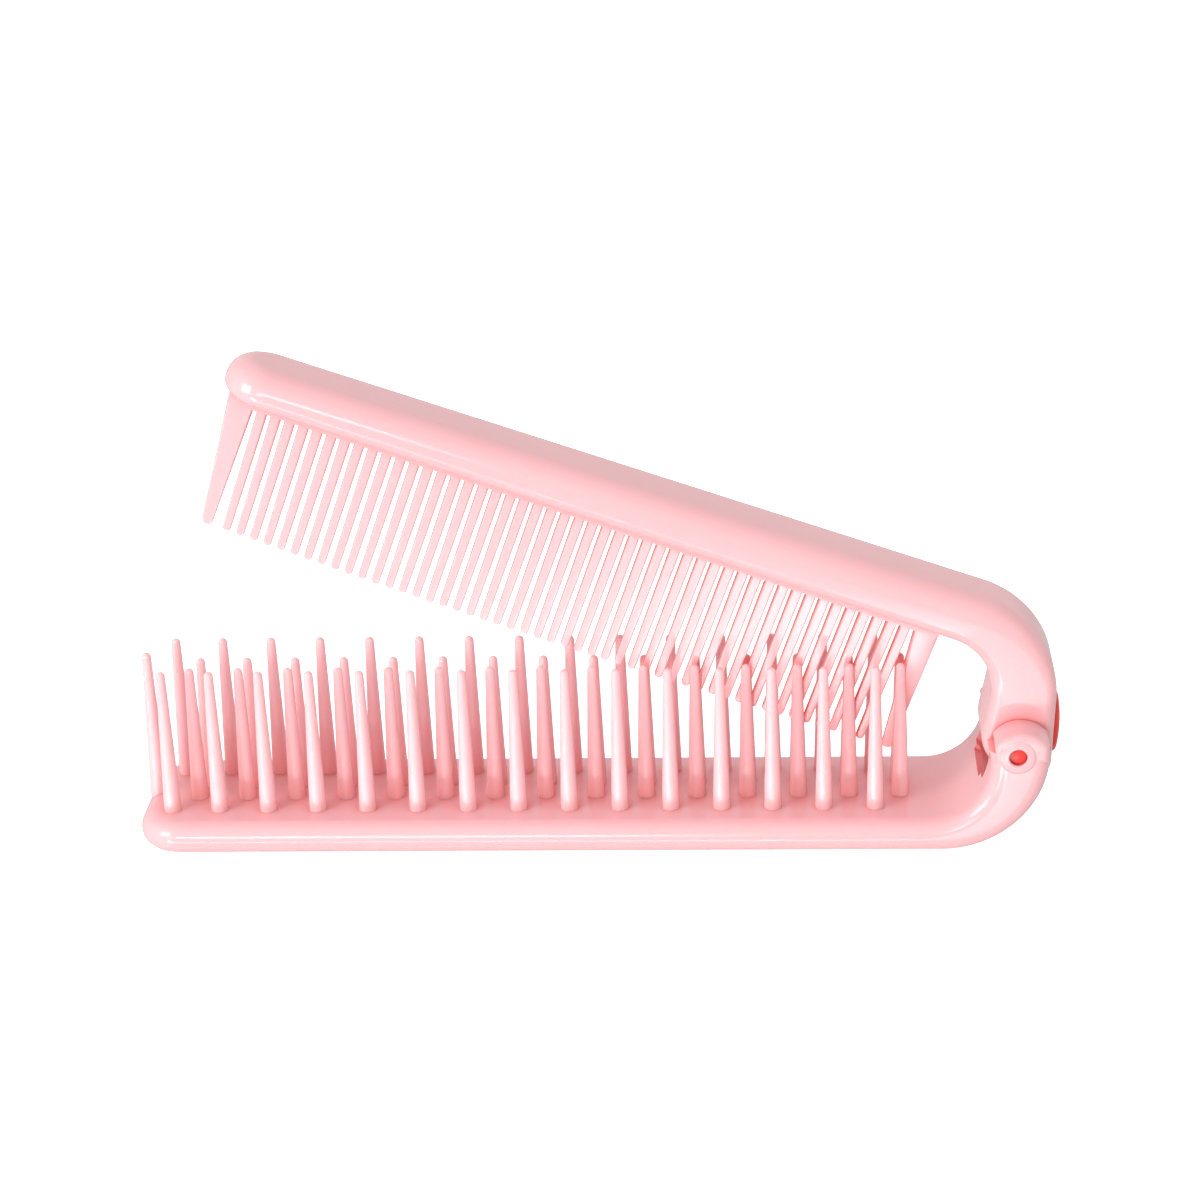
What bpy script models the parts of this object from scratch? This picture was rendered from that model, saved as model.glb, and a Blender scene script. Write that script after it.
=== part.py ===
# A pocket comb that folds: a brush arm and a comb arm on one hinge.
# Metres, +Z up. The object stands on the back of the brush arm, with its hinge at +X and its
# hinge axis along Y. The comb arm is drawn closed, parallel to the brush arm, and its pivot
# empty turns it to the half-open pose in which the object is kept.
import math

import bmesh
import bpy
from mathutils import Matrix, Vector

# Where the first pins stand, so that the whole object is centred on the origin.
FIRST_PIN_X = -0.05377

# Brush arm
BED_THICKNESS = 0.0042
BED_HALF_WIDTH = 0.0103
BED_EDGE_RADIUS = 0.0020
BED_OVERHANG = 0.0034
BED_CORNER_RADIUS = 0.0055
PIN_PITCH = 0.0063
PINS_PER_ROW = 15
PIN_BASE_RADIUS = 0.00110
PIN_TIP_RADIUS = 0.00058
OUTER_ROW_Y = 0.0053
OUTER_PIN_HEIGHT = 0.0185
OUTER_ROW_CROWDING = 0.0007
INNER_ROW_Y = 0.0018
INNER_PIN_HEIGHT = 0.0176
END_PIN_BEFORE_FIRST = 0.0020
END_PIN_HEIGHT = 0.0191
PIN_SUNK = 0.0015
PIN_SIDES = 8

# Hinge
HINGE_FROM_FIRST_PIN = 0.1052
HINGE_HEIGHT = 0.01304
BEND_OUTER_BACK = 0.0090
BEND_INNER_BACK = 0.0105
BEND_INNER_RADIUS = 0.0073
BEND_TOP_ABOVE_AXIS = 0.006
SHOULDER_ABOVE_AXIS = 0.0004
SLOT_HALF_WIDTH = 0.0056
SLOT_ROUND_RADIUS = 0.0071
SLOT_SWING_X = 0.0095
SLOT_SWING_Z = -0.0025
SLOT_SWING_RADIUS = 0.0134
EAR_LEFT = -0.00275
EAR_RIGHT = 0.00305
EAR_FOOT = -0.0010
EAR_TOP = 0.0028
EAR_ARC_RADIUS = 0.0041
EAR_EDGE_RADIUS = 0.0008
BOSS_RADIUS = 0.0024
BOSS_PROUD = 0.0001
BORE_RADIUS = 0.00108
PIN_SHAFT_RADIUS = 0.00078
PIN_SHAFT_HALF_LENGTH = 0.0082
REST_OPENING = math.radians(20.4)

# Comb arm, measured from the hinge axis with the arm closed
COMB_HALF_WIDTH = 0.0053
COMB_EDGE_RADIUS = 0.0014
COMB_CORNER_RADIUS = 0.0052
COMB_END_X = -0.1046
COMB_END_TOP = 0.0141
SPINE_UNDERSIDE = 0.0095
OUTER_ARC_X = -0.0095
OUTER_ARC_Z = 0.0025
OUTER_ARC_RADIUS = 0.0130
INNER_ARC_X = -0.0116
INNER_ARC_RADIUS = 0.0071
INNER_ARC_END = 8.6
TONGUE_RADIUS = 0.0047
TONGUE_CORNER = 0.0015
TONGUE_TOWARDS_SEAT = 0.0007
SEAT_TURN = math.radians(17.6)
FIRST_GAP_X = -0.09997
LAST_GAP_X = -0.01614
FINE_TEETH = 48
GAP_TOP = 0.0078
GAP_HALF_WIDTH = 0.00022
GAP_ROOT_DROP = 0.0002
TOOTH_TIP_HALF_WIDTH = 0.00036
END_TOOTH_TIP_HALF_WIDTH = 0.00065
LEFT_END_ROOT_X = -0.1035
LEFT_END_TIP_X = -0.1016
RIGHT_END_ROOT_X = -0.0128
RIGHT_END_TIP_X = -0.01345
TOOTH_TIP_END = -0.00845
TOOTH_TIP_BOW = 0.00075
PLATE_TOP = 0.0099
PLATE_HALF_AT_TOP = 0.00088
PLATE_HALF_AT_TIP = 0.00040

# Button let into the end of the comb arm
BUTTON_RADIUS = 0.00385
BUTTON_EDGE = 0.00055
BUTTON_DOME = 0.00045
RECESS_RADIUS = 0.0041
RECESS_DEPTH = 0.0005
SEAT_GAP = 0.0003
BUTTON_OFF_AXIS = 0.0005

# How far the cutting shapes reach past what they cut
REACH = 0.02
PLAN_CLEARANCE = 0.00002

PINK = (0.93, 0.55, 0.57)
RED = (0.78, 0.05, 0.04)


def clear_scene():
    for item in list(bpy.data.objects):
        bpy.data.objects.remove(item, do_unlink=True)


def new_collection(name):
    group = bpy.data.collections.new(name)
    bpy.context.scene.collection.children.link(group)
    return group


def plastic(name, colour, roughness):
    material = bpy.data.materials.new(name)
    material.use_nodes = True
    shader = material.node_tree.nodes["Principled BSDF"]
    shader.inputs["Base Color"].default_value = (*colour, 1.0)
    shader.inputs["Roughness"].default_value = roughness
    shader.inputs["Metallic"].default_value = 0.0
    return material


def arc(centre_x, centre_z, radius, start, end, steps):
    """Points on an arc, from one angle in degrees to another."""
    angles = [math.radians(start + (end - start) * i / steps) for i in range(steps + 1)]
    return [(centre_x + radius * math.cos(a), centre_z + radius * math.sin(a)) for a in angles]


def place(name, mesh, group, location=(0, 0, 0), parent=None):
    item = bpy.data.objects.new(name, mesh)
    group.objects.link(item)
    item.parent = parent
    item.location = location
    return item


def hide_as_cutter(item):
    item.hide_render = True
    item.display_type = "WIRE"


def outline_mesh(name, points, half_width, edge_radius=0.0, upright=True):
    """A flat outline given thickness, with rounded rims, as a closed mesh.

    An upright outline lies in the XZ plane and is thick along Y; the other kind is a plan.
    """
    curve = bpy.data.curves.new(name, "CURVE")
    curve.dimensions = "2D"
    curve.fill_mode = "BOTH"
    curve.extrude = half_width - edge_radius
    curve.bevel_depth = edge_radius
    curve.bevel_resolution = 2
    curve.offset = -edge_radius
    spline = curve.splines.new("POLY")
    spline.points.add(len(points) - 1)
    for point, (x, z) in zip(spline.points, points):
        point.co = (x, z, 0.0, 1.0)
    spline.use_cyclic_u = True
    holder = bpy.data.objects.new(name + "_outline", curve)
    bpy.context.scene.collection.objects.link(holder)
    evaluated = holder.evaluated_get(bpy.context.evaluated_depsgraph_get())
    mesh = bpy.data.meshes.new_from_object(evaluated)
    if upright:
        mesh.transform(Matrix.Rotation(math.radians(90), 4, "X"))
    bpy.data.objects.remove(holder, do_unlink=True)
    bpy.data.curves.remove(curve)
    mesh.name = name
    merge_and_face_outwards(mesh)
    return mesh


def merge_and_face_outwards(mesh):
    work = bmesh.new()
    work.from_mesh(mesh)
    bmesh.ops.remove_doubles(work, verts=work.verts, dist=1e-6)
    bmesh.ops.recalc_face_normals(work, faces=work.faces)
    work.to_mesh(mesh)
    work.free()


def cylinder_mesh(name, radius, low_y, high_y, sides):
    """A closed cylinder along Y."""
    work = bmesh.new()
    bmesh.ops.create_cone(work, cap_ends=True, segments=sides, radius1=radius, radius2=radius,
                          depth=high_y - low_y)
    bmesh.ops.rotate(work, verts=work.verts, matrix=Matrix.Rotation(math.radians(90), 3, "X"))
    bmesh.ops.translate(work, verts=work.verts, vec=(0, (low_y + high_y) / 2, 0))
    mesh = bpy.data.meshes.new(name)
    work.to_mesh(mesh)
    work.free()
    return mesh


def box_mesh(name, low, high):
    work = bmesh.new()
    bmesh.ops.create_cube(work, size=1.0)
    size = [b - a for a, b in zip(low, high)]
    middle = [(a + b) / 2 for a, b in zip(low, high)]
    bmesh.ops.scale(work, verts=work.verts, vec=size)
    bmesh.ops.translate(work, verts=work.verts, vec=middle)
    mesh = bpy.data.meshes.new(name)
    work.to_mesh(mesh)
    work.free()
    return mesh


def turned(work, profile, sides):
    """Spin a profile of (radius, height) points about Z in an open bmesh; returns its vertices."""
    verts = [work.verts.new((radius, 0, height)) for radius, height in profile]
    edges = [work.edges.new(pair) for pair in zip(verts, verts[1:])]
    before = set(work.verts) - set(verts)
    bmesh.ops.spin(work, geom=verts + edges, cent=(0, 0, 0), axis=(0, 0, 1), dvec=(0, 0, 0),
                   angle=math.tau, steps=sides, use_merge=True)
    made = [v for v in work.verts if v not in before]
    bmesh.ops.remove_doubles(work, verts=made, dist=1e-7)
    return [v for v in work.verts if v not in before]


def cut_or_join(item, operation, tool):
    step = item.modifiers.new(operation.lower() + "_" + tool.name, "BOOLEAN")
    step.operation = operation
    step.solver = "EXACT"
    step.use_self = tool.name == "tooth_plate"
    step.object = tool


def plan_outline(end_x, far_x, half_width, radius):
    """A long rectangle seen from above, with its two corners at end_x rounded."""
    side = half_width + PLAN_CLEARANCE
    corner_x = end_x + radius
    corner_y = side - radius
    return [(far_x, -side), (far_x, side)] + arc(corner_x, corner_y, radius, 90, 180, 8) + \
        arc(corner_x, -corner_y, radius, 180, 270, 8)


def brush_outline(hinge_x):
    """Side view of the brush arm: a straight bed that bends up to the hinge."""
    outer_x = hinge_x - BEND_OUTER_BACK
    inner_x = hinge_x - BEND_INNER_BACK
    inner_z = BED_THICKNESS + BEND_INNER_RADIUS
    left = FIRST_PIN_X - BED_OVERHANG
    above = HINGE_HEIGHT + BEND_TOP_ABOVE_AXIS
    points = [(left, 0.0)]
    points += arc(outer_x, HINGE_HEIGHT, HINGE_HEIGHT, -90, 0, 14)
    points += [(outer_x + HINGE_HEIGHT, above), (inner_x + BEND_INNER_RADIUS, above)]
    points += arc(inner_x, inner_z, BEND_INNER_RADIUS, 0, -90, 10)
    points += [(left, BED_THICKNESS)]
    return points


def ear_outline():
    """Side view of the tab round the hinge: upright flanks under a low arched top."""
    centre_x = (EAR_LEFT + EAR_RIGHT) / 2
    slope = math.degrees(math.acos((EAR_RIGHT - centre_x) / EAR_ARC_RADIUS))
    points = [(EAR_LEFT, EAR_FOOT), (EAR_RIGHT, EAR_FOOT)]
    return points + arc(centre_x, EAR_TOP - EAR_ARC_RADIUS, EAR_ARC_RADIUS, slope, 180 - slope, 10)


def outer_pin_x(i):
    """Places along an outer row, whose first pins stand a little closer together."""
    return FIRST_PIN_X + PIN_PITCH * i + OUTER_ROW_CROWDING * 0.5 ** i


def pin_field():
    """All the brush pins as one mesh, each a slim cone with a domed tip."""
    outer = [(outer_pin_x(i), side * OUTER_ROW_Y, OUTER_PIN_HEIGHT)
             for i in range(PINS_PER_ROW) for side in (-1, 1)]
    inner = [(FIRST_PIN_X + PIN_PITCH * (i + 0.5), side * INNER_ROW_Y, INNER_PIN_HEIGHT)
             for i in range(PINS_PER_ROW) for side in (-1, 1)]
    end = [(FIRST_PIN_X - END_PIN_BEFORE_FIRST, 0.0, END_PIN_HEIGHT)]
    work = bmesh.new()
    for x, y, top in outer + inner + end:
        profile = [(0, -PIN_SUNK), (PIN_BASE_RADIUS, -PIN_SUNK), (PIN_TIP_RADIUS, top - PIN_TIP_RADIUS),
                   (PIN_TIP_RADIUS * 0.7, top - PIN_TIP_RADIUS * 0.3), (0, top)]
        verts = turned(work, profile, PIN_SIDES)
        bmesh.ops.translate(work, verts=verts, vec=(x, y, BED_THICKNESS))
    bmesh.ops.recalc_face_normals(work, faces=work.faces)
    mesh = bpy.data.meshes.new("pin_field")
    work.to_mesh(mesh)
    work.free()
    return mesh


def build_brush_arm(parts, cutters, material, hinge_x):
    width = BED_HALF_WIDTH
    arm = place("brush_arm", outline_mesh("brush_arm", brush_outline(hinge_x), width,
                                          BED_EDGE_RADIUS), parts)
    left = FIRST_PIN_X - BED_OVERHANG
    hinge = (hinge_x, 0, HINGE_HEIGHT)
    plan = plan_outline(left, hinge_x + REACH, width, BED_CORNER_RADIUS)
    tools = [
        ("INTERSECT", "brush_plan", outline_mesh("brush_plan", plan, 2 * REACH, upright=False), (0, 0, 0)),
        ("DIFFERENCE", "shoulder_cut",
         box_mesh("shoulder_cut", (-REACH, -REACH, SHOULDER_ABOVE_AXIS), (REACH, REACH, REACH)), hinge),
        ("UNION", "hinge_ear", outline_mesh("hinge_ear", ear_outline(), width, EAR_EDGE_RADIUS), hinge),
        ("UNION", "hinge_boss",
         cylinder_mesh("hinge_boss", BOSS_RADIUS, -width - BOSS_PROUD, width + BOSS_PROUD, 28), hinge),
        ("DIFFERENCE", "slot_round",
         cylinder_mesh("slot_round", SLOT_ROUND_RADIUS, -SLOT_HALF_WIDTH, SLOT_HALF_WIDTH, 48), hinge),
        ("DIFFERENCE", "slot_swing",
         cylinder_mesh("slot_swing", SLOT_SWING_RADIUS, -SLOT_HALF_WIDTH, SLOT_HALF_WIDTH, 72),
         (hinge_x + SLOT_SWING_X, 0, HINGE_HEIGHT + SLOT_SWING_Z)),
        ("DIFFERENCE", "hinge_bore", cylinder_mesh("hinge_bore", BORE_RADIUS, -REACH, REACH, 20), hinge),
        ("UNION", "pin_field", pin_field(), (0, 0, 0)),
    ]
    for operation, name, mesh, location in tools:
        tool = place(name, mesh, cutters, location)
        hide_as_cutter(tool)
        cut_or_join(arm, operation, tool)
    arm.data.materials.append(material)
    return arm


def comb_outline():
    """Side view of the closed comb arm: its spine, the bend, and the tongue round the hinge."""
    turn = math.degrees(SEAT_TURN)
    flat_x = math.cos(SEAT_TURN)
    flat_z = math.sin(SEAT_TURN)
    corner = TONGUE_RADIUS - TONGUE_CORNER
    corner_x = corner * flat_x + corner * flat_z
    corner_z = corner * flat_z - corner * flat_x
    points = [(COMB_END_X, SPINE_UNDERSIDE)]
    points += arc(INNER_ARC_X, SPINE_UNDERSIDE - INNER_ARC_RADIUS, INNER_ARC_RADIUS, 90, INNER_ARC_END, 14)
    points += arc(TONGUE_TOWARDS_SEAT * flat_x, TONGUE_TOWARDS_SEAT * flat_z, TONGUE_RADIUS,
                  180 + INNER_ARC_END, 270 + turn, 12)
    points += arc(corner_x, corner_z, TONGUE_CORNER, turn - 90, turn, 4)
    points += arc(OUTER_ARC_X, OUTER_ARC_Z, OUTER_ARC_RADIUS, turn, 90.8, 12)
    points += [(COMB_END_X, COMB_END_TOP)]
    return points


def tip_height(x):
    """Height of the tooth tips, which bow a little towards the bed in the middle of the row."""
    middle = (FIRST_GAP_X + LAST_GAP_X) / 2
    reach = (LAST_GAP_X - FIRST_GAP_X) / 2
    return TOOTH_TIP_END - TOOTH_TIP_BOW * max(0.0, 1.0 - ((x - middle) / reach) ** 2)


def tooth_points(middle, root_left, root_right, half):
    """One tooth, drawn down its left flank, round its tip and up its right flank."""
    low = tip_height(middle)
    root = GAP_TOP - GAP_ROOT_DROP
    return [(root_left, root), (middle - half, low + half), (middle, low),
            (middle + half, low + half), (root_right, root)]


def plate_outline():
    """Side view of the tooth plate: two broad end teeth with the fine teeth between them."""
    pitch = (LAST_GAP_X - FIRST_GAP_X) / FINE_TEETH
    points = [(RIGHT_END_ROOT_X, PLATE_TOP), (LEFT_END_ROOT_X, PLATE_TOP)]
    points += tooth_points(LEFT_END_TIP_X, LEFT_END_ROOT_X, FIRST_GAP_X - GAP_HALF_WIDTH,
                           END_TOOTH_TIP_HALF_WIDTH)
    for i in range(FINE_TEETH):
        gap = FIRST_GAP_X + pitch * i
        points += [(gap, GAP_TOP)]
        points += tooth_points(gap + pitch / 2, gap + GAP_HALF_WIDTH, gap + pitch - GAP_HALF_WIDTH,
                               TOOTH_TIP_HALF_WIDTH)
    points += [(LAST_GAP_X, GAP_TOP)]
    points += tooth_points(RIGHT_END_TIP_X, LAST_GAP_X + GAP_HALF_WIDTH, RIGHT_END_ROOT_X,
                           END_TOOTH_TIP_HALF_WIDTH)
    return points


def tooth_plate():
    """The tooth plate, thinning from its root to its tips."""
    mesh = outline_mesh("tooth_plate", plate_outline(), 1.0)
    drop = PLATE_TOP - (TOOTH_TIP_END - TOOTH_TIP_BOW)
    for vertex in mesh.vertices:
        share = (PLATE_TOP - vertex.co.z) / drop
        half = PLATE_HALF_AT_TOP + (PLATE_HALF_AT_TIP - PLATE_HALF_AT_TOP) * share
        vertex.co.y = math.copysign(half, vertex.co.y)
    return mesh


def seat_matrix(height):
    """Frame on the flat seat at the end of the tongue: its Z points out of the seat."""
    turn = Matrix.Rotation(math.radians(90) - SEAT_TURN, 4, "Y")
    return turn @ Matrix.Translation((-BUTTON_OFF_AXIS, 0, TONGUE_RADIUS + height))


def build_comb_arm(parts, cutters, material, pivot):
    arm = place("comb_arm", outline_mesh("comb_arm", comb_outline(), COMB_HALF_WIDTH,
                                         COMB_EDGE_RADIUS), parts, parent=pivot)
    plan = plan_outline(COMB_END_X, REACH, COMB_HALF_WIDTH, COMB_CORNER_RADIUS)
    recess = bmesh.new()
    bmesh.ops.create_cone(recess, cap_ends=True, segments=36, radius1=RECESS_RADIUS,
                          radius2=RECESS_RADIUS, depth=REACH)
    bmesh.ops.transform(recess, verts=recess.verts, matrix=seat_matrix(REACH / 2 - RECESS_DEPTH))
    recess_mesh = bpy.data.meshes.new("button_recess")
    recess.to_mesh(recess_mesh)
    recess.free()
    tools = [
        ("INTERSECT", "comb_plan", outline_mesh("comb_plan", plan, 2 * REACH, upright=False)),
        ("UNION", "tooth_plate", tooth_plate()),
        ("DIFFERENCE", "comb_bore", cylinder_mesh("comb_bore", BORE_RADIUS, -REACH, REACH, 20)),
        ("DIFFERENCE", "button_recess", recess_mesh),
    ]
    for operation, name, mesh in tools:
        tool = place(name, mesh, cutters, parent=pivot)
        hide_as_cutter(tool)
        cut_or_join(arm, operation, tool)
    arm.data.materials.append(material)
    return arm


def build_hinge_pin(parts, material, hinge_x):
    mesh = cylinder_mesh("hinge_pin", PIN_SHAFT_RADIUS, -PIN_SHAFT_HALF_LENGTH,
                         PIN_SHAFT_HALF_LENGTH, 20)
    mesh.shade_smooth()
    mesh.set_sharp_from_angle(angle=math.radians(40))
    mesh.materials.append(material)
    return place("hinge_pin", mesh, parts, (hinge_x, 0, HINGE_HEIGHT))


def build_hinge_button(parts, material, pivot):
    """A low domed button in the recess on the end of the comb arm."""
    bottom = SEAT_GAP - RECESS_DEPTH
    profile = [(0, bottom), (BUTTON_RADIUS, bottom), (BUTTON_RADIUS, BUTTON_EDGE)]
    for share in (0.75, 0.5, 0.25, 0.0):
        profile.append((BUTTON_RADIUS * share, BUTTON_EDGE + BUTTON_DOME * (1 - share ** 2)))
    work = bmesh.new()
    verts = turned(work, profile, 32)
    bmesh.ops.recalc_face_normals(work, faces=work.faces)
    bmesh.ops.transform(work, verts=verts, matrix=seat_matrix(0.0))
    mesh = bpy.data.meshes.new("hinge_button")
    work.to_mesh(mesh)
    work.free()
    mesh.shade_smooth()
    mesh.set_sharp_from_angle(angle=math.radians(40))
    mesh.materials.append(material)
    return place("hinge_button", mesh, parts, parent=pivot)


def main():
    clear_scene()
    parts = new_collection("folding_comb")
    cutters = new_collection("cutters")
    pink = plastic("pink_plastic", PINK, 0.28)
    red = plastic("red_plastic", RED, 0.35)
    hinge_x = FIRST_PIN_X + HINGE_FROM_FIRST_PIN

    pivot = bpy.data.objects.new("comb_pivot", None)
    parts.objects.link(pivot)
    pivot.location = Vector((hinge_x, 0, HINGE_HEIGHT))
    pivot.rotation_euler = (0, REST_OPENING, 0)

    build_brush_arm(parts, cutters, pink, hinge_x)
    build_comb_arm(parts, cutters, pink, pivot)
    build_hinge_pin(parts, red, hinge_x)
    build_hinge_button(parts, red, pivot)


main()
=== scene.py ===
# %% [markdown]
# # A folding comb
#
# A pocket comb that folds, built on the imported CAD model. A brush arm and a comb arm meet at one
# hinge, and the comb arm stands half open.
#
# Everything is in metres and in the CAD model's own frame: the back of the brush arm lies on the
# floor at Z = 0, the hinge axis runs along Y, and the hinge is at +X.

import math

import bmesh
import bpy
from mathutils import Matrix, Vector


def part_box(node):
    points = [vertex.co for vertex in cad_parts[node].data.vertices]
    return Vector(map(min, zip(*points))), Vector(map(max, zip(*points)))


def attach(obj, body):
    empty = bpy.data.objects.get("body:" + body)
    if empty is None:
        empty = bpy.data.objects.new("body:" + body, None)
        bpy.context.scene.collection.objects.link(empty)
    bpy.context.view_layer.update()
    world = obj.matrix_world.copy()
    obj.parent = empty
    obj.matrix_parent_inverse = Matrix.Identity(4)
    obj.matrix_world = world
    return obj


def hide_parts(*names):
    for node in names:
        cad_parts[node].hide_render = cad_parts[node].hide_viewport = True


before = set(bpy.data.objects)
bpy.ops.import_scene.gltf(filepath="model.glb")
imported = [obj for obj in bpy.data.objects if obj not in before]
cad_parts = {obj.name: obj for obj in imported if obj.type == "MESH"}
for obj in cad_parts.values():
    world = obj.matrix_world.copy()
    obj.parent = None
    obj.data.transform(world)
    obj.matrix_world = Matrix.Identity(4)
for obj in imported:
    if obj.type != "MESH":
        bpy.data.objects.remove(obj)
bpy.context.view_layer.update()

# %% [markdown]
# The hinge pin's CAD node gives the hinge axis. The comb arm is modelled closed, with the hinge
# at the origin, and `open_comb` then turns it to the half-open pose.

# %% Find the hinge
pin_low, pin_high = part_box("hinge_pin")
HINGE_X = (pin_low.x + pin_high.x) / 2
HINGE_Z = (pin_low.z + pin_high.z) / 2
REST_OPENING = math.radians(20.4)
open_comb = Matrix.Translation((HINGE_X, 0, HINGE_Z)) @ Matrix.Rotation(REST_OPENING, 4, "Y")
print("hinge at", round(HINGE_X, 5), round(HINGE_Z, 5))

# %% [markdown]
# ## Plastics
#
# Both arms are one glossy pink plastic. In the crevices between the pins and the teeth an occlusion
# node paints shade into the colour, a deeper red that stands in for the light that comes back redder
# from there. The hinge parts are a red plastic. The pins are so thin that light passes through them,
# which a stronger subsurface glow gives; their paler copy of the plastic, with lighter painted
# crevice shade, is painted light.

# %% Make the plastics
TINT_SCALE = 60.0
SKIN_SCALE = 2500.0
# Reach and occlusion levels of the painted crevice shade.
PAINTED_SHADE_REACH = 0.004
PAINTED_SHADE_STARTS = 0.85
PAINTED_SHADE_FULL = 0.2
ROUGHNESS_SPREAD = 0.03
RELIEF_DEPTH = 0.00002
GLOW_RADIUS = (1.0, 0.35, 0.3)
GLOW_SCALE = 0.0015
PLASTIC_IOR = 1.49


def plastic(name, colour, deeper, painted_crevice_shade, roughness, glow):
    """A moulded plastic with a faint random tint, painted shade in its crevices, a fine skin and
    some glow.
    """
    material = bpy.data.materials.new(name)
    material.use_nodes = True
    nodes = material.node_tree.nodes
    links = material.node_tree.links
    shader = nodes["Principled BSDF"]
    place = nodes.new("ShaderNodeTexCoord")
    flow = nodes.new("ShaderNodeTexNoise")
    flow.inputs["Scale"].default_value = TINT_SCALE
    flow.inputs["Detail"].default_value = 2.0
    tint = nodes.new("ShaderNodeMix")
    tint.data_type = "RGBA"
    tint.inputs["A"].default_value = (*colour, 1.0)
    tint.inputs["B"].default_value = (*deeper, 1.0)
    # Painted shade: an occlusion probe mixes the crevice colour into the base colour where nearby
    # surfaces hem the surface in.
    painted_shade_probe = nodes.new("ShaderNodeAmbientOcclusion")
    painted_shade_probe.samples = 8
    painted_shade_probe.inputs["Distance"].default_value = PAINTED_SHADE_REACH
    depth = nodes.new("ShaderNodeMapRange")
    depth.inputs["From Min"].default_value = PAINTED_SHADE_STARTS
    depth.inputs["From Max"].default_value = PAINTED_SHADE_FULL
    inner = nodes.new("ShaderNodeMix")
    inner.data_type = "RGBA"
    inner.inputs["B"].default_value = (*painted_crevice_shade, 1.0)
    skin = nodes.new("ShaderNodeTexNoise")
    skin.inputs["Scale"].default_value = SKIN_SCALE
    skin.inputs["Detail"].default_value = 3.0
    gloss = nodes.new("ShaderNodeMapRange")
    gloss.inputs["To Min"].default_value = roughness - ROUGHNESS_SPREAD
    gloss.inputs["To Max"].default_value = roughness + ROUGHNESS_SPREAD
    relief = nodes.new("ShaderNodeBump")
    relief.inputs["Strength"].default_value = 0.02
    relief.inputs["Distance"].default_value = RELIEF_DEPTH
    links.new(place.outputs["Object"], flow.inputs["Vector"])
    links.new(flow.outputs["Fac"], tint.inputs["Factor"])
    links.new(painted_shade_probe.outputs["AO"], depth.inputs["Value"])
    links.new(depth.outputs["Result"], inner.inputs["Factor"])
    links.new(tint.outputs["Result"], inner.inputs["A"])
    links.new(inner.outputs["Result"], shader.inputs["Base Color"])
    links.new(place.outputs["Object"], skin.inputs["Vector"])
    links.new(skin.outputs["Fac"], gloss.inputs["Value"])
    links.new(gloss.outputs["Result"], shader.inputs["Roughness"])
    links.new(skin.outputs["Fac"], relief.inputs["Height"])
    links.new(relief.outputs["Normal"], shader.inputs["Normal"])
    shader.inputs["Subsurface Weight"].default_value = glow
    shader.inputs["Subsurface Radius"].default_value = GLOW_RADIUS
    shader.inputs["Subsurface Scale"].default_value = GLOW_SCALE
    shader.inputs["IOR"].default_value = PLASTIC_IOR
    return material


# Each crevice colour is painted shade, a deep red put where neighbouring parts crowd the surface.
pink = plastic("pink_plastic", colour=(0.91, 0.51, 0.53), deeper=(0.89, 0.485, 0.505),
               painted_crevice_shade=(0.97, 0.22, 0.20), roughness=0.15, glow=0.35)
# A paler copy of the pink for the pins, with lighter crevice colour: painted light for the brighter
# light on the pins, besides their stronger subsurface glow.
thin_and_lit_pink = plastic("thin_and_lit_pink_plastic", colour=(0.94, 0.585, 0.605), deeper=(0.92, 0.56, 0.58),
                    painted_crevice_shade=(0.97, 0.40, 0.38), roughness=0.17, glow=0.6)
red = plastic("red_plastic", colour=(0.80, 0.06, 0.04), deeper=(0.74, 0.045, 0.035),
              painted_crevice_shade=(0.60, 0.02, 0.02), roughness=0.25, glow=0.15)
print("materials", pink.name, thin_and_lit_pink.name, red.name)

# %% [markdown]
# ## Shared helpers
#
# Each arm starts as its side view: a flat outline that is extruded along Y. Its left corners are
# then rounded as seen from above, and the rims all round are rounded with a bevel.

# %% Outline helpers
SAME_PLACE = 1e-7
NEARLY = 1e-6
ROUND_END_STEPS = 16
NO_LEFT_END = -1.0


def arc(centre_x, centre_z, radius, start, end, steps):
    """Points on an arc in the side view, from one angle in degrees to another."""
    angles = [math.radians(start + (end - start) * i / steps) for i in range(steps + 1)]
    return [(centre_x + radius * math.cos(a), centre_z + radius * math.sin(a)) for a in angles]


def new_verts(work, before):
    """The points that a bmesh has gained since `before`."""
    return [v for v in work.verts if v not in before]


def side_extrusion(points, half_width):
    """The side outline as a face at -Y, extruded to a closed solid of the full width."""
    work = bmesh.new()
    corners = [work.verts.new((x, -half_width, z)) for x, z in points]
    face = work.faces.new(corners)
    extruded = bmesh.ops.extrude_face_region(work, geom=[face], use_keep_orig=True)
    moved = [v for v in extruded["geom"] if isinstance(v, bmesh.types.BMVert)]
    bmesh.ops.translate(work, verts=moved, vec=(0, 2 * half_width, 0))
    bmesh.ops.recalc_face_normals(work, faces=work.faces)
    return work


def round_left_end(work, end_x, radius):
    """Rounds the two upright corners at the left end, as seen from above."""
    upright = [e for e in work.edges
               if all(abs(v.co.x - end_x) < SAME_PLACE for v in e.verts)
               and abs(e.verts[0].co.y - e.verts[1].co.y) < SAME_PLACE]
    bmesh.ops.bevel(work, geom=upright, offset=radius, segments=ROUND_END_STEPS, profile=0.5,
                    affect="EDGES", material=-1)
    bmesh.ops.remove_doubles(work, verts=work.verts, dist=SAME_PLACE)


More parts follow.
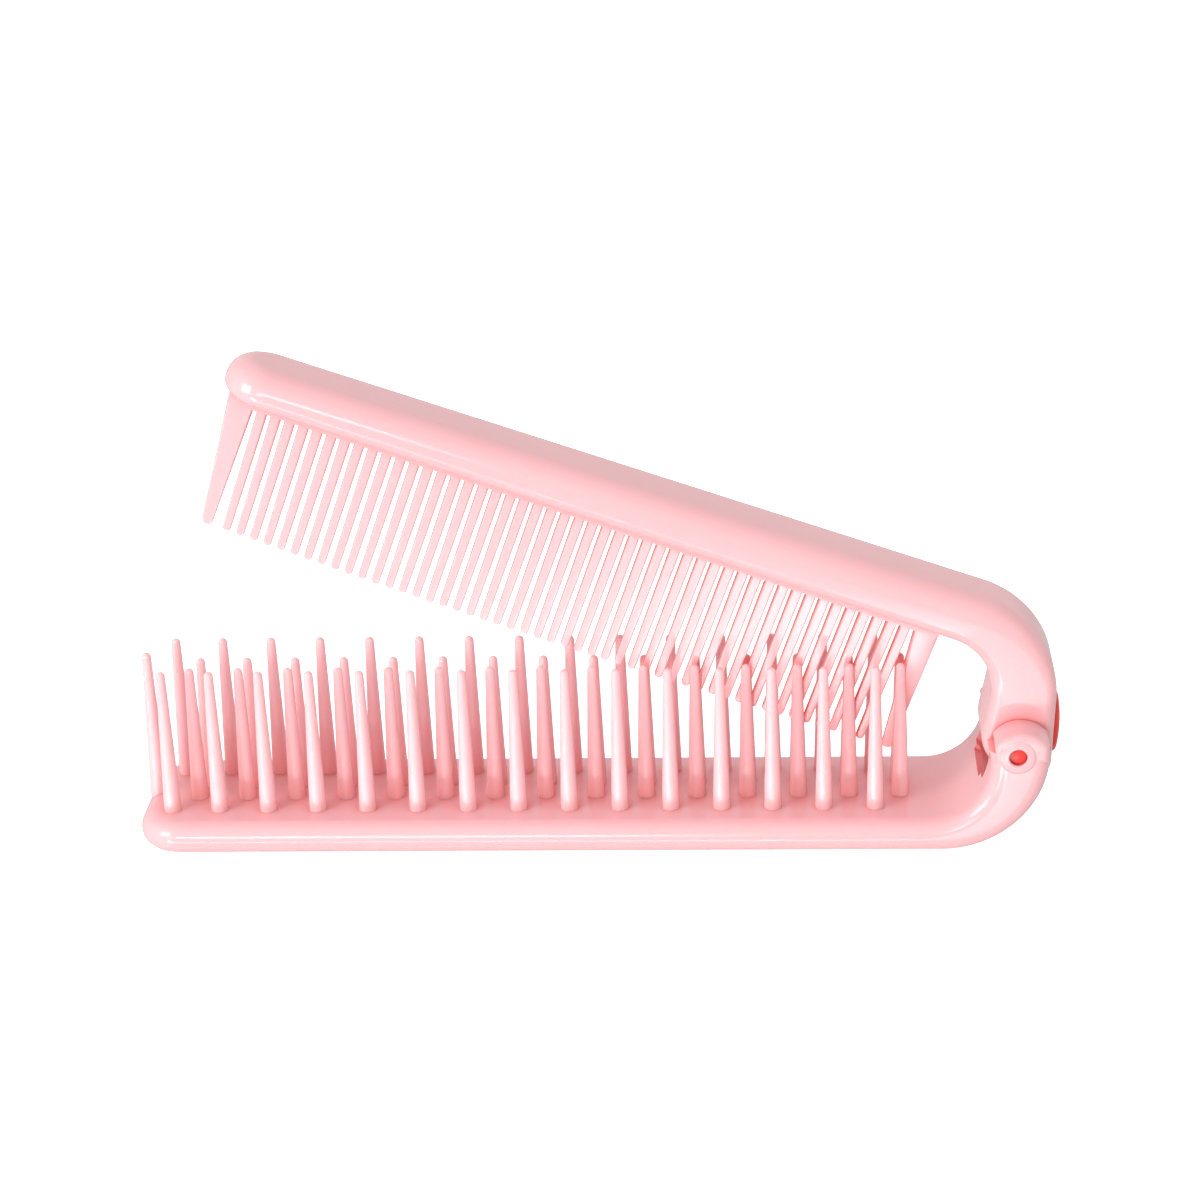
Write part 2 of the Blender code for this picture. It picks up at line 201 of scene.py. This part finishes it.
def round_rims(work, end_x, radius, segments):
    """Rounds the edges between the upright wall and the surfaces that run across the arm."""
    wall = {f for f in work.faces
            if abs(f.normal.y) > 0.001 or f.calc_center_median().x < end_x + NEARLY}
    rims = [e for e in work.edges if len(wall.intersection(e.link_faces)) == 1]
    bmesh.ops.bevel(work, geom=rims, offset=radius, segments=segments, profile=0.5,
                    affect="EDGES", material=-1)
    bmesh.ops.recalc_face_normals(work, faces=work.faces)


# %% [markdown]
# A finished piece is an object with smooth shading that rides on its body and hides the CAD nodes it
# replaces. Cuts and unions are Boolean steps that are applied at once.

# %% Finishing helpers
SHARP_ANGLE = 40.0
CARVED_SHARP_ANGLE = 32.0


def finish_piece(name, work, material, body, nodes, sharp=SHARP_ANGLE, matrix=None):
    """Turns the bmesh into an object with smooth shading that rides on a body."""
    if matrix is not None:
        bmesh.ops.transform(work, matrix=matrix, verts=work.verts)
    unclosed = sum(not e.is_manifold for e in work.edges)
    mesh = bpy.data.meshes.new(name)
    work.to_mesh(mesh)
    work.free()
    mesh.shade_smooth()
    mesh.set_sharp_from_angle(angle=math.radians(sharp))
    mesh.materials.append(material)
    piece = bpy.data.objects.new(name, mesh)
    bpy.context.scene.collection.objects.link(piece)
    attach(piece, body)
    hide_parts(*nodes)
    print(name, len(mesh.polygons), "faces,", unclosed, "open edges")
    return piece


def cutter(name, work, matrix=None):
    """An object that only cuts others. It isn't rendered."""
    if matrix is not None:
        bmesh.ops.transform(work, matrix=matrix, verts=work.verts)
    bmesh.ops.recalc_face_normals(work, faces=work.faces)
    mesh = bpy.data.meshes.new(name)
    work.to_mesh(mesh)
    work.free()
    item = bpy.data.objects.new(name, mesh)
    bpy.context.scene.collection.objects.link(item)
    return item


def along_y(radius, half_length, sides):
    """A closed cylinder along Y, as a bmesh."""
    work = bmesh.new()
    bmesh.ops.create_cone(work, cap_ends=True, segments=sides, radius1=radius, radius2=radius,
                          depth=2 * half_length)
    bmesh.ops.rotate(work, verts=work.verts, matrix=Matrix.Rotation(math.radians(90), 3, "X"))
    return work


def carve(piece, tools):
    """Applies cuts and unions to a piece, then takes the tools away."""
    for operation, tool in tools:
        step = piece.modifiers.new(tool.name, "BOOLEAN")
        step.operation = operation
        step.solver = "EXACT"
        step.object = tool
    bpy.context.view_layer.update()
    whole = bpy.data.meshes.new_from_object(
        piece.evaluated_get(bpy.context.evaluated_depsgraph_get()))
    piece.modifiers.clear()
    piece.data = whole
    for operation, tool in tools:
        bpy.data.objects.remove(tool, do_unlink=True)
    whole.shade_smooth()
    whole.set_sharp_from_angle(angle=math.radians(CARVED_SHARP_ANGLE))
    even = piece.modifiers.new("even_shading", "WEIGHTED_NORMAL")
    even.keep_sharp = True
    print(piece.name, "carved to", len(whole.polygons), "faces")


# %% [markdown]
# Turned shapes are spun from a profile. Their rims are rounded with a quarter circle.

# %% Turning helpers
QUARTER = (0, 22.5, 45, 67.5, 90)


def spin_into(work, profile, axis, steps, closed=False):
    """Spins a profile of (radius, distance along the axis) points round Y or Z."""
    if axis == "Y":
        verts = [work.verts.new((radius, along, 0)) for radius, along in profile]
    else:
        verts = [work.verts.new((radius, 0, along)) for radius, along in profile]
    following = verts[1:] + verts[:1] if closed else verts[1:]
    edges = [work.edges.new(pair) for pair in zip(verts, following)]
    bmesh.ops.spin(work, geom=verts + edges, cent=(0, 0, 0), dvec=(0, 0, 0), angle=math.tau,
                   axis=(0, 1, 0) if axis == "Y" else (0, 0, 1), steps=steps, use_merge=True)


def close_up(work):
    """Joins the points that a spin leaves in one place and turns the faces outward."""
    bmesh.ops.remove_doubles(work, verts=work.verts, dist=SAME_PLACE)
    bmesh.ops.recalc_face_normals(work, faces=work.faces)


def rounded_rim(radius, along, rim, angles=QUARTER):
    """Profile points round the rim between a turned side and its flat end."""
    turns = [math.radians(angle) for angle in angles]
    return [(radius - rim * (1 - math.cos(t)), along - rim * (1 - math.sin(t))) for t in turns]


def spool(radius, half_length, rim, steps):
    """A cylinder along Y whose two end rims are rounded."""
    work = bmesh.new()
    end = rounded_rim(radius, half_length, rim) + [(0, half_length)]
    start = [(across, -along) for across, along in reversed(end)]
    spin_into(work, start + end, "Y", steps)
    close_up(work)
    return work


# %% [markdown]
# ## Brush arm
#
# A flat bed that bends up through a quarter turn to the hinge. A slot splits the bend into a
# fork, so that the comb arm can swing between its two ears. A narrower and deeper path in the
# slot's floor lets the button pass when the comb arm opens fully.

# %% Brush arm: bed, bend and fork
FIRST_PIN_X = HINGE_X - 0.1052
BED_LEFT = FIRST_PIN_X - 0.0034
BED_THICKNESS = 0.0042
BED_HALF_WIDTH = 0.0103
BED_RIM = 0.0020
BED_CORNER = 0.0055
BEND_OUTER_X = HINGE_X - 0.0090
BEND_INNER_X = HINGE_X - 0.0105
BEND_INNER_RADIUS = 0.0073
BEND_INNER_END = 20.0
SHOULDER_Z = HINGE_Z + 0.0004
ABOVE_SHOULDER = 0.004
SLOT_HALF_WIDTH = 0.0056
SLOT_ROUND_RADIUS = 0.0064
SLOT_SWING_RADIUS = 0.0134
SLOT_SWING_X = 0.0095
SLOT_SWING_Z = -0.0025
BUTTON_PATH_RADIUS = 0.0070
BUTTON_PATH_HALF_WIDTH = 0.0041
EAR_LEFT = -0.00275
EAR_RIGHT = 0.0038
EAR_FOOT = -0.0010
EAR_TOP = 0.0029
EAR_ARC_RADIUS = 0.0041
EAR_RIM = 0.0008
BOSS_RADIUS = 0.0024
BOSS_PROUD = 0.00012
BOSS_RIM = 0.0006
BORE_RADIUS = 0.00108
BORE_RIM = 0.00015
BORE_REACH = 0.02
BORE_SIDES = 40
SLOT_SIDES = 96
SWING_SIDES = 128
TURNED_STEPS = 64


def brush_side_view():
    inner_z = BED_THICKNESS + BEND_INNER_RADIUS
    above = SHOULDER_Z + ABOVE_SHOULDER
    lean = math.radians(BEND_INNER_END)
    points = [(BED_LEFT, 0.0)]
    points += arc(BEND_OUTER_X, HINGE_Z, HINGE_Z, -90, 0, 40)
    points += [(BEND_OUTER_X + HINGE_Z, above),
               (BEND_INNER_X + BEND_INNER_RADIUS * math.cos(lean), above)]
    points += arc(BEND_INNER_X, inner_z, BEND_INNER_RADIUS, BEND_INNER_END, -90, 34)
    points += [(BED_LEFT, BED_THICKNESS)]
    return points


def build_brush_arm():
    work = side_extrusion(brush_side_view(), BED_HALF_WIDTH)
    round_left_end(work, BED_LEFT, BED_CORNER)
    round_rims(work, BED_LEFT, BED_RIM, 5)
    everything = list(work.verts) + list(work.edges) + list(work.faces)
    cut = bmesh.ops.bisect_plane(work, geom=everything, plane_co=(0, 0, SHOULDER_Z),
                                 plane_no=(0, 0, 1), clear_outer=True)
    rim = [e for e in cut["geom_cut"] if isinstance(e, bmesh.types.BMEdge)]
    bmesh.ops.holes_fill(work, edges=rim, sides=0)
    bmesh.ops.recalc_face_normals(work, faces=work.faces)
    return finish_piece("brush_arm_body", work, pink, "brush", ["brush_arm"])


def hinge_ear():
    """The tab that carries the hinge: upright flanks under a low arched top, rims rounded."""
    centre_x = (EAR_LEFT + EAR_RIGHT) / 2
    slope = math.degrees(math.acos((EAR_RIGHT - centre_x) / EAR_ARC_RADIUS))
    points = [(EAR_LEFT, EAR_FOOT), (EAR_RIGHT, EAR_FOOT)]
    points += arc(centre_x, EAR_TOP - EAR_ARC_RADIUS, EAR_ARC_RADIUS, slope, 180 - slope, 20)
    work = side_extrusion(points, BED_HALF_WIDTH)
    round_rims(work, NO_LEFT_END, EAR_RIM, 4)
    return work


at_hinge = Matrix.Translation((HINGE_X, 0, HINGE_Z))
at_swing = at_hinge @ Matrix.Translation((SLOT_SWING_X, 0, SLOT_SWING_Z))
brush_body = build_brush_arm()
carve(brush_body, [
    ("UNION", cutter("hinge_ear", hinge_ear(), at_hinge)),
    ("DIFFERENCE", cutter("slot_round", along_y(SLOT_ROUND_RADIUS, SLOT_HALF_WIDTH, SLOT_SIDES),
                          at_hinge)),
    ("DIFFERENCE", cutter("button_path", along_y(BUTTON_PATH_RADIUS, BUTTON_PATH_HALF_WIDTH,
                                                 SLOT_SIDES), at_hinge)),
    ("DIFFERENCE", cutter("slot_swing", along_y(SLOT_SWING_RADIUS, SLOT_HALF_WIDTH, SWING_SIDES),
                          at_swing)),
    ("DIFFERENCE", cutter("hinge_bore", along_y(BORE_RADIUS, BORE_REACH, BORE_SIDES), at_hinge)),
])

# %% [markdown]
# A low ring with a softened rim stands round the bore on the outer side of each ear.

# %% Hinge bosses
def build_bosses():
    work = bmesh.new()
    inner = SLOT_HALF_WIDTH + BOSS_RIM
    outer = BED_HALF_WIDTH + BOSS_PROUD
    profile = [(BORE_RADIUS, inner), (BOSS_RADIUS, inner)]
    profile += rounded_rim(BOSS_RADIUS, outer, BOSS_RIM)
    profile += [(BORE_RADIUS + BORE_RIM, outer), (BORE_RADIUS, outer - BORE_RIM)]
    for side in (-1, 1):
        spin_into(work, [(radius, side * along) for radius, along in profile], "Y", TURNED_STEPS,
                  closed=True)
    close_up(work)
    return finish_piece("hinge_bosses", work, pink, "brush", ["brush_arm"],
                        matrix=at_hinge)


build_bosses()

# %% [markdown]
# ## Brush pins
#
# Sixty-one slim cones with rounded tips, in four staggered rows, with one more pin at the left
# end. The two outer rows are a little taller than the inner rows, and the first pins of each
# row stand a little closer together. A row is its Y, its shift in pitches, its pins' height,
# how far its first pin is moved in, and how fast that fades along the row.

# %% Brush pins
PIN_PITCH = 0.0063
PINS_PER_ROW = 15
PIN_BASE_RADIUS = 0.00110
PIN_TIP_RADIUS = 0.00058
PIN_ROWS = [(-0.0053, 0.0, 0.0188, 0.0007, 0.5), (0.0053, 0.0, 0.0187, 0.0007, 0.5),
            (-0.0018, 0.5, 0.0177, 0.0004, 0.5), (0.0018, 0.5, 0.0175, 0.0012, 0.65)]
PIN_SUNK = 0.0014
PIN_STEPS = 20
END_PIN_OUT = 0.0020
END_PIN_HEIGHT = 0.0191


def add_pin(work, x, y, height):
    """One pin, spun from its profile and set into the bed."""
    profile = [(0, -PIN_SUNK), (PIN_BASE_RADIUS, -PIN_SUNK), (PIN_BASE_RADIUS, 0.0)]
    shoulder = height - PIN_TIP_RADIUS
    profile += [(PIN_BASE_RADIUS + (PIN_TIP_RADIUS - PIN_BASE_RADIUS) * s, shoulder * s)
                for s in (0.33, 0.66, 1.0)]
    for angle in (25, 50, 72):
        turn = math.radians(angle)
        profile.append((PIN_TIP_RADIUS * math.cos(turn), shoulder + PIN_TIP_RADIUS * math.sin(turn)))
    profile.append((0, height))
    before = set(work.verts)
    spin_into(work, profile, "Z", PIN_STEPS)
    bmesh.ops.remove_doubles(work, verts=new_verts(work, before), dist=SAME_PLACE)
    bmesh.ops.translate(work, verts=new_verts(work, before), vec=(x, y, BED_THICKNESS))


def build_pins():
    work = bmesh.new()
    for row_y, shift, height, crowding, fade in PIN_ROWS:
        for i in range(PINS_PER_ROW):
            x = FIRST_PIN_X + PIN_PITCH * (i + shift) + crowding * fade ** i
            add_pin(work, x, row_y, height)
    add_pin(work, FIRST_PIN_X - END_PIN_OUT, 0.0, END_PIN_HEIGHT)
    bmesh.ops.recalc_face_normals(work, faces=work.faces)
    # The pins wear the paler, painted-light copy of the pink.
    return finish_piece("brush_pins", work, thin_and_lit_pink, "brush", ["brush_arm"],
                        sharp=60.0)


build_pins()

# %% [markdown]
# ## Comb arm
#
# The spine bends down to a tongue that turns between the ears. These values are measured from
# the hinge axis with the arm closed.

# %% Comb arm: spine, bend and tongue
COMB_HALF_WIDTH = 0.0053
COMB_RIM = 0.0014
BACK_RIM = 0.0029
BACK_FADES_FROM = 0.45
BACK_SLACK = 1e-5
BACK_EDGE_SLACK = 2e-5
COMB_LEFT = -0.1046
COMB_LEFT_TOP = 0.0141
COMB_CORNER = 0.0052
SPINE_UNDERSIDE = 0.0095
OUTER_ARC_X = -0.0095
OUTER_ARC_Z = 0.0025
OUTER_ARC_RADIUS = 0.0130
OUTER_ARC_END = 90.8
INNER_ARC_X = -0.0116
INNER_ARC_RADIUS = 0.0071
INNER_ARC_END = 8.6
TONGUE_TOWARDS_SEAT = 0.0007
SEAT_TURN = math.radians(17.6)
TONGUE_RADIUS = 0.0047
TONGUE_CORNER = 0.0015
RECESS_RADIUS = 0.0041
RECESS_DEPTH = 0.0005
RECESS_CUT = 0.01
BUTTON_OFF_AXIS = 0.0005


def comb_side_view():
    turn = math.degrees(SEAT_TURN)
    corner = TONGUE_RADIUS - TONGUE_CORNER
    corner_x = corner * (math.cos(SEAT_TURN) + math.sin(SEAT_TURN))
    corner_z = corner * (math.sin(SEAT_TURN) - math.cos(SEAT_TURN))
    points = [(COMB_LEFT, SPINE_UNDERSIDE)]
    points += arc(INNER_ARC_X, SPINE_UNDERSIDE - INNER_ARC_RADIUS, INNER_ARC_RADIUS, 90,
                  INNER_ARC_END, 28)
    tongue_x = TONGUE_TOWARDS_SEAT * math.cos(SEAT_TURN)
    tongue_z = TONGUE_TOWARDS_SEAT * math.sin(SEAT_TURN)
    points += arc(tongue_x, tongue_z, TONGUE_RADIUS, 180 + INNER_ARC_END, 270 + turn, 24)
    points += arc(corner_x, corner_z, TONGUE_CORNER, turn - 90, turn, 8)
    points += arc(OUTER_ARC_X, OUTER_ARC_Z, OUTER_ARC_RADIUS, turn, OUTER_ARC_END, 36)
    points += [(COMB_LEFT, COMB_LEFT_TOP)]
    return points


def seat_frame(height):
    """A frame on the flat seat at the end of the tongue: its Z points out of the seat."""
    turn = Matrix.Rotation(math.radians(90) - SEAT_TURN, 4, "Y")
    return turn @ Matrix.Translation((-BUTTON_OFF_AXIS, 0, TONGUE_RADIUS + height))


def round_back(work):
    """Widens the rounding of the comb's back, fading out round the bend towards the seat."""
    centre_x = COMB_LEFT + COMB_CORNER
    centre_y = COMB_HALF_WIDTH - COMB_CORNER
    flat = COMB_CORNER - COMB_RIM
    for vertex in work.verts:
        x, y, z = vertex.co
        if x < OUTER_ARC_X:
            outward, fade = Vector((0, 0, 1)), 1.0
            on_back = z > SPINE_UNDERSIDE + 2 * COMB_RIM
        else:
            outward = Vector((x - OUTER_ARC_X, 0, z - OUTER_ARC_Z))
            on_back = outward.length > OUTER_ARC_RADIUS - COMB_RIM - BACK_SLACK and z > OUTER_ARC_Z
            outward.normalize()
            fade = min(1.0, max(0.0, (outward.z - BACK_FADES_FROM) / (1 - BACK_FADES_FROM)))
        centre = Vector((max(x, centre_x), math.copysign(centre_y, y), z))
        across = vertex.co - centre
        if not on_back or across.length < flat - BACK_EDGE_SLACK:
            continue
        lift = min(1.0, max(0.0, (across.length - flat) / COMB_RIM))
        drop = 1 - math.sqrt(1 - lift * lift)
        radius = COMB_RIM + (BACK_RIM - COMB_RIM) * fade
        moved = centre + across * ((COMB_CORNER - radius + radius * lift) / across.length)
        vertex.co = moved - outward * (radius - COMB_RIM) * drop


def build_comb_arm():
    work = side_extrusion(comb_side_view(), COMB_HALF_WIDTH)
    round_left_end(work, COMB_LEFT, COMB_CORNER)
    round_rims(work, COMB_LEFT, COMB_RIM, 6)
    round_back(work)
    return finish_piece("comb_arm_body", work, pink, "comb", ["comb_arm"],
                        matrix=open_comb)


def button_recess():
    work = bmesh.new()
    bmesh.ops.create_cone(work, cap_ends=True, segments=64, radius1=RECESS_RADIUS,
                          radius2=RECESS_RADIUS, depth=RECESS_CUT)
    bmesh.ops.transform(work, verts=work.verts,
                        matrix=seat_frame(RECESS_CUT / 2 - RECESS_DEPTH))
    return work


comb_body = build_comb_arm()
carve(comb_body, [
    ("DIFFERENCE", cutter("comb_bore", along_y(BORE_RADIUS, BORE_REACH, BORE_SIDES), open_comb)),
    ("DIFFERENCE", cutter("button_recess", button_recess(), open_comb)),
])

# %% [markdown]
# ## Comb teeth
#
# A thin root plate joins the teeth to the spine. The fine teeth are flat bars with softened edges
# that taper to round tips, and a broad tooth closes each end of the row. The teeth and the plate
# are joined to one closed surface, because light inside the plastic stops at any face between.
# PLATE_INSET keeps the plate's faces just inside those of the teeth, so that none coincide.

# %% Comb teeth
FIRST_GAP = -0.09997
LAST_GAP = -0.01614
FINE_TEETH = 48
TOOTH_PITCH = (LAST_GAP - FIRST_GAP) / FINE_TEETH
GAP_TOP = 0.0078
GAP_HALF_WIDTH = 0.00022
PLATE_LEFT = -0.1035
PLATE_RIGHT = -0.0128
PLATE_HALF = 0.00105
PLATE_SUNK = 0.0004
TOOTH_SUNK = 0.0006
PLATE_INSET = 0.00002
FINE_TIP_HALF_X = 0.00050
END_TIP_HALF_X = 0.00065
LEFT_END_TIP = -0.1016
RIGHT_END_TIP = -0.01345
TIP_HALF_Y = 0.00040
TIP_ROUNDING = 0.85
TOOTH_RIM = 0.00016
TIP_END = -0.00845
TIP_BOW = 0.00075


def tip_height(x):
    """Height of the tooth tips, which bow a little towards the bed in the middle of the row."""
    middle = (FIRST_GAP + LAST_GAP) / 2
    reach = (LAST_GAP - FIRST_GAP) / 2
    return TIP_END - TIP_BOW * max(0.0, 1.0 - ((x - middle) / reach) ** 2)


def edges_of(verts):
    return {e for v in verts for e in v.link_edges}


def is_flank_rim(edge, high):
    """True for an edge between a tooth's broad face and its flank or tip, below its top."""
    level = abs(edge.verts[0].co.y - edge.verts[1].co.y) < NEARLY
    facing = [abs(face.normal.y) for face in edge.link_faces]
    return (level and min(v.co.z for v in edge.verts) < high - NEARLY
            and all(share > 0.9 or share < 0.1 for share in facing)
            and len({share > 0.9 for share in facing}) == 2)


def add_tooth(work, root_left, root_right, tip_x, tip_half_x):
    """One tooth: a bevelled bar at its tip's size, widened towards its root."""
    low = tip_height(tip_x)
    high = GAP_TOP + TOOTH_SUNK
    before = set(work.verts)
    bmesh.ops.create_cube(work, size=1.0)
    made = new_verts(work, before)
    bmesh.ops.scale(work, verts=made, vec=(2 * tip_half_x, 2 * TIP_HALF_Y, high - low))
    bmesh.ops.translate(work, verts=made, vec=(0, 0, (high + low) / 2))
    tip = [e for e in edges_of(made)
           if all(v.co.z < low + NEARLY for v in e.verts) and e.verts[0].co.y * e.verts[1].co.y < 0]
    bmesh.ops.bevel(work, geom=tip, offset=TIP_ROUNDING * tip_half_x, segments=3, profile=0.5,
                    affect="EDGES", material=-1)
    rims = [e for e in edges_of(new_verts(work, before)) if is_flank_rim(e, high)]
    bmesh.ops.bevel(work, geom=rims, offset=TOOTH_RIM, segments=2, profile=0.5,
                    affect="EDGES", material=-1)
    root_middle = (root_left + root_right) / 2
    root_half = (root_right - root_left) / 2
    for vertex in new_verts(work, before):
        share = (high - vertex.co.z) / (high - low)
        middle = root_middle + (tip_x - root_middle) * share
        wider = root_half / tip_half_x + (1 - root_half / tip_half_x) * share
        thicker = PLATE_HALF / TIP_HALF_Y + (1 - PLATE_HALF / TIP_HALF_Y) * share
        vertex.co.x = middle + vertex.co.x * wider
        vertex.co.y *= thicker


def root_plate():
    """The plate that carries the teeth. It is sunk a little way into the spine."""
    work = bmesh.new()
    bmesh.ops.create_cube(work, size=1.0)
    plate_top = SPINE_UNDERSIDE + PLATE_SUNK
    bmesh.ops.scale(work, verts=work.verts, vec=(PLATE_RIGHT - PLATE_LEFT - PLATE_INSET,
                                                 2 * PLATE_HALF - PLATE_INSET,
                                                 plate_top - GAP_TOP))
    bmesh.ops.translate(work, verts=work.verts, vec=((PLATE_RIGHT + PLATE_LEFT) / 2, 0,
                                                     (plate_top + GAP_TOP) / 2))
    return work


def build_teeth():
    work = bmesh.new()
    for i in range(FINE_TEETH):
        gap = FIRST_GAP + TOOTH_PITCH * i
        add_tooth(work, gap + GAP_HALF_WIDTH, gap + TOOTH_PITCH - GAP_HALF_WIDTH,
                  gap + TOOTH_PITCH / 2, FINE_TIP_HALF_X)
    add_tooth(work, PLATE_LEFT, FIRST_GAP - GAP_HALF_WIDTH, LEFT_END_TIP, END_TIP_HALF_X)
    add_tooth(work, LAST_GAP + GAP_HALF_WIDTH, PLATE_RIGHT, RIGHT_END_TIP, END_TIP_HALF_X)
    bmesh.ops.recalc_face_normals(work, faces=work.faces)
    return finish_piece("comb_teeth", work, pink, "comb", ["comb_arm"],
                        matrix=open_comb)


teeth = build_teeth()
carve(teeth, [("UNION", cutter("root_plate", root_plate(), open_comb))])

# %% [markdown]
# ## Hinge parts
#
# The red hinge pin fills the bore up to just below the bosses' faces. The button in the seat of
# the comb arm is a low dome with a rounded rim.

# %% Hinge pin and button
SHAFT_RADIUS = 0.00104
SHAFT_HALF_LENGTH = 0.0099
SHAFT_RIM = 0.0001
BUTTON_RADIUS = 0.00385
BUTTON_RIM = 0.0003
BUTTON_HEIGHT = 0.00055
BUTTON_DOME = 0.00045
BUTTON_SUNK = 0.0002


def build_button():
    work = bmesh.new()
    profile = [(0, -BUTTON_SUNK), (BUTTON_RADIUS, -BUTTON_SUNK)]
    profile += rounded_rim(BUTTON_RADIUS, BUTTON_HEIGHT, BUTTON_RIM, (0, 22, 45, 68))
    for share in (0.9, 0.75, 0.6, 0.45, 0.3, 0.15, 0.0):
        profile.append((BUTTON_RADIUS * share, BUTTON_HEIGHT + BUTTON_DOME * (1 - share ** 2)))
    spin_into(work, profile, "Z", TURNED_STEPS)
    close_up(work)
    return finish_piece("hinge_button_dome", work, red, "comb", ["hinge_button"],
                        matrix=open_comb @ seat_frame(0.0))


build_button()
finish_piece("hinge_shaft", spool(SHAFT_RADIUS, SHAFT_HALF_LENGTH, SHAFT_RIM, BORE_SIDES), red,
             "brush", ["hinge_pin"], matrix=at_hinge)

# %% [markdown]
# ## Studio
#
# A pale floor that glows like a light table, a white surround that is dimmer from below, and
# large soft lamps.

# %% Floor and surround
SKY_STRENGTH = 0.84
BELOW_SHARE = 0.7
HORIZON_BLUR = 0.1
FLOOR_DROP = 0.0002
FLOOR_GLOW = 0.8


def build_floor():
    work = bmesh.new()
    bmesh.ops.create_grid(work, x_segments=1, y_segments=1, size=8.0)
    mesh = bpy.data.meshes.new("floor")
    work.to_mesh(mesh)
    work.free()
    material = bpy.data.materials.new("pale_floor")
    material.use_nodes = True
    shader = material.node_tree.nodes["Principled BSDF"]
    shader.inputs["Base Color"].default_value = (0.85, 0.85, 0.85, 1.0)
    shader.inputs["Roughness"].default_value = 0.9
    shader.inputs["Specular IOR Level"].default_value = 0.0
    shader.inputs["Emission Color"].default_value = (1.0, 1.0, 1.0, 1.0)
    shader.inputs["Emission Strength"].default_value = FLOOR_GLOW
    mesh.materials.append(material)
    floor = bpy.data.objects.new("floor", mesh)
    bpy.context.scene.collection.objects.link(floor)
    floor.location = (0, 0, -FLOOR_DROP)
    floor.visible_glossy = False
    floor.visible_diffuse = False
    floor.visible_shadow = False


build_floor()
surround = bpy.data.worlds.new("white_surround")
surround.use_nodes = True
sky = surround.node_tree.nodes["Background"]
sky.inputs["Strength"].default_value = SKY_STRENGTH
way = surround.node_tree.nodes.new("ShaderNodeTexCoord")
upward = surround.node_tree.nodes.new("ShaderNodeSeparateXYZ")
shade = surround.node_tree.nodes.new("ShaderNodeMapRange")
shade.inputs["From Min"].default_value = -HORIZON_BLUR
shade.inputs["From Max"].default_value = HORIZON_BLUR
shade.inputs["To Min"].default_value = BELOW_SHARE
shade.inputs["To Max"].default_value = 1.0
surround.node_tree.links.new(way.outputs["Generated"], upward.inputs["Vector"])
surround.node_tree.links.new(upward.outputs["Z"], shade.inputs["Value"])
surround.node_tree.links.new(shade.outputs["Result"], sky.inputs["Color"])
bpy.context.scene.world = surround
bpy.context.scene.view_settings.view_transform = "Standard"
print("floor and surround ready")

# %% [markdown]
# A lamp is its name, its azimuth and elevation in degrees as seen from the middle of the part,
# its width and height in metres, and its power in watts. Azimuth 0 is the front, and positive is
# to the right.

# %% Lamps
LAMP_REACH = 0.8
LIT_POINT = Vector((0.0, 0.0, 0.025))
LAMPS = [("key_panel", -50, 15, 0.35, 0.35, 2.9), ("front_band", -10, 4, 0.26, 0.12, 0.9),
         ("low_strip", -18, -28, 0.70, 0.03, 1.4), ("left_strip", -38, -23, 0.05, 0.25, 0.8)]


def softbox(name, azimuth, elevation, width, height, power):
    data = bpy.data.lights.new(name, "AREA")
    data.shape = "RECTANGLE"
    data.size = width
    data.size_y = height
    data.energy = power
    lamp = bpy.data.objects.new(name, data)
    bpy.context.scene.collection.objects.link(lamp)
    turn, rise = math.radians(azimuth), math.radians(elevation)
    towards = Vector((math.cos(rise) * math.sin(turn), -math.cos(rise) * math.cos(turn),
                      math.sin(rise)))
    lamp.location = LIT_POINT + towards * LAMP_REACH
    lamp.rotation_euler = (-towards).to_track_quat("-Z", "Y").to_euler()


for lamp_row in LAMPS:
    softbox(*lamp_row)

# %% [markdown]
# ## Camera
#
# The camera's place and its long lens were fitted to the photograph from the rows of pins, the
# teeth and the hinge bore.

# %% Camera
CAMERA_FROM_HINGE = (-0.02834, -0.34003)
CAMERA_HEIGHT = 0.17326
CAMERA_LENS = 90.68
CAMERA_TURN = 3.722
CAMERA_DOWN = 22.824
CAMERA_ROLL = -1.971
camera_data = bpy.data.cameras.new("camera")
camera_data.sensor_width = 36.0
camera_data.lens = CAMERA_LENS
camera_data.clip_end = 50.0
camera = bpy.data.objects.new("camera", camera_data)
bpy.context.scene.collection.objects.link(camera)
camera_x = HINGE_X + CAMERA_FROM_HINGE[0]
camera.matrix_world = (Matrix.Translation((camera_x, CAMERA_FROM_HINGE[1], CAMERA_HEIGHT))
                       @ Matrix.Rotation(math.radians(CAMERA_TURN), 4, "Z")
                       @ Matrix.Rotation(math.radians(90 - CAMERA_DOWN), 4, "X")
                       @ Matrix.Rotation(math.radians(CAMERA_ROLL), 4, "Z"))
bpy.context.scene.camera = camera
print("camera at", [round(v, 4) for v in camera.location])
